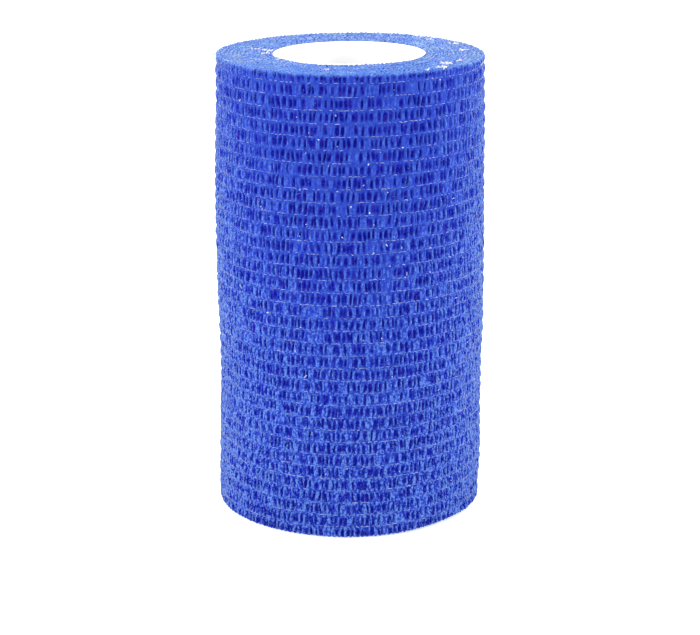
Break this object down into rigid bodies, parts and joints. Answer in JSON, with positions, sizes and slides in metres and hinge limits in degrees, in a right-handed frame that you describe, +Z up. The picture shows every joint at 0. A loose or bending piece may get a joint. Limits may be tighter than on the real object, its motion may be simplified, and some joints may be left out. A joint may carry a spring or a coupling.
{
  "type": "cohesive bandage roll",
  "caption": "Standing roll of crinkled blue self-adhering elastic bandage, wound in a spiral on a thin white core tube that is open at both ends.",
  "frame": {"origin": "on the roll's axis, in the plane that the roll stands on", "axes": "+Z up along the roll's axis; +Y is away from the viewer of the picture, so the strip's loose end is at the back, towards +X"},
  "size_m": [0.0584, 0.0588, 0.1],
  "materials": {
    "crinkled_cloth": "matt crinkled nonwoven with elastic threads",
    "white_core": "smooth matt white"
  },
  "bodies": {
    "root": {"bandage_roll": "crinkled_cloth", "core_tube": "white_core"}
  },
  "joints": []
}
